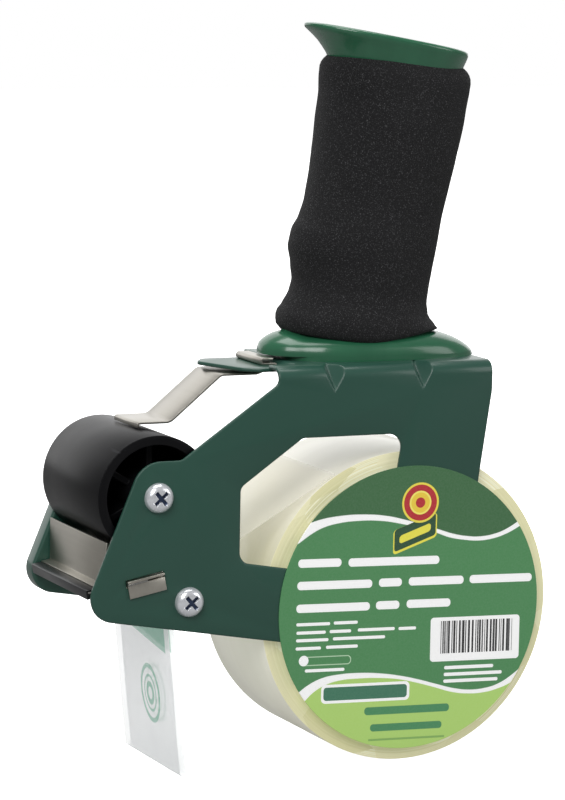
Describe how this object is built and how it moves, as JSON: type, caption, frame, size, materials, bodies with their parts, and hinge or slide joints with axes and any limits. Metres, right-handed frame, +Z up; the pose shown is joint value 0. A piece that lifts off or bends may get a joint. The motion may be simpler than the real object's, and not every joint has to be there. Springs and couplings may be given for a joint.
{
  "type": "hand-held packing tape dispenser",
  "caption": "Hand-held packing tape dispenser with a foam pistol grip, sheet-steel side frame, application roller, covered blade and a braked hub carrying a roll of clear tape.",
  "frame": {"origin": "middle of the underside of the bounding box, where the tape roll meets the table", "axes": "+Z up through the handle, -X to the front where the tape is cut, +Y from the full side plate to the open side"},
  "size_m": [0.1626, 0.0622, 0.2398],
  "materials": {
    "green_paint": "semi-gloss stoved paint over sheet steel",
    "green_plastic": "glossy moulded plastic",
    "black_foam": "closed-cell foam with fine pores",
    "black_plastic": "hard moulded plastic, satin",
    "bright_steel": "drawn bright bar",
    "zinc": "bright zinc plate",
    "plated_sheet": "zinc-plated sheet with a satin roll finish",
    "blade_steel": "ground blade steel",
    "spring_strip": "satin spring strip",
    "spring_steel": "bright spring wire",
    "white_nylon": "natural nylon",
    "fibre": "pressed red fibre",
    "core_board": "spiral-wound grey board",
    "wound_tape": "clear film wound on itself, milky cream in the roll",
    "clear_film": null,
    "printed_card": "coated card printed with plain green bands"
  },
  "bodies": {
    "frame": {"side_frame": "green_paint", "far_cheek": "green_paint", "cheek_screws": "zinc", "roller_axle": "bright_steel", "guide_post": "bright_steel", "roller_washers": "zinc", "blade_bracket": "plated_sheet", "cutting_blade": "blade_steel", "blade_rivets": "zinc", "blade_clamp": "plated_sheet", "handle_core": "green_plastic", "foam_grip": "black_foam", "handle_screws": "zinc", "handle_washers": "zinc", "hub_stud": "bright_steel", "hub_sleeve": "white_nylon", "brake_washer": "fibre", "tension_spring": "spring_steel", "tape_leader": "clear_film", "label_card": "printed_card"},
    "roller": {"application_roller": "black_plastic"},
    "hub": {"tape_hub": "black_plastic"},
    "tape": {"tape_core": "core_board", "tape_roll": "wound_tape"},
    "pressure": {"pressure_washer": "zinc"},
    "nut": {"tension_nut": "black_plastic"},
    "guard": {"blade_guard": "black_plastic"},
    "leaf": {"retainer_spring": "spring_strip"}
  },
  "joints": [
    {"name": "roller_spin", "type": "hinge", "parent": "frame", "child": "roller", "pos_m": [-0.05814, 0, 0.0914], "axis": [0, 1, 0], "continuous": true},
    {"name": "hub_spin", "type": "hinge", "parent": "frame", "child": "hub", "pos_m": [0.03026, 0, 0.051], "axis": [0, 1, 0], "continuous": true},
    {"name": "tape_load", "type": "slide", "parent": "hub", "child": "tape", "axis": [0, 1, 0], "range_m": [0, 0.06]},
    {"name": "brake_set", "type": "slide", "parent": "frame", "child": "pressure", "axis": [0, -1, 0], "range_m": [-0.0015, 0.0045], "deforming": ["tension_spring"]},
    {"name": "nut_turn", "type": "hinge", "parent": "pressure", "child": "nut", "pos_m": [0.03026, 0, 0.051], "axis": [0, -1, 0], "range_deg": [-360, 1080]},
    {"name": "guard_slide", "type": "slide", "parent": "frame", "child": "guard", "axis": [-0.9816, 0, -0.1908], "range_m": [0, 0.016]},
    {"name": "leaf_flex", "type": "hinge", "parent": "frame", "child": "leaf", "pos_m": [-0.01774, 0, 0.127], "axis": [0, 1, 0], "range_deg": [0, 3.5], "stiffness_Nm_per_rad": 0.4, "deforming": ["retainer_spring"]}
  ],
  "couplings": [
    {"joint": "brake_set", "follows": "nut_turn", "m_per_rad": 0.00023873}
  ]
}
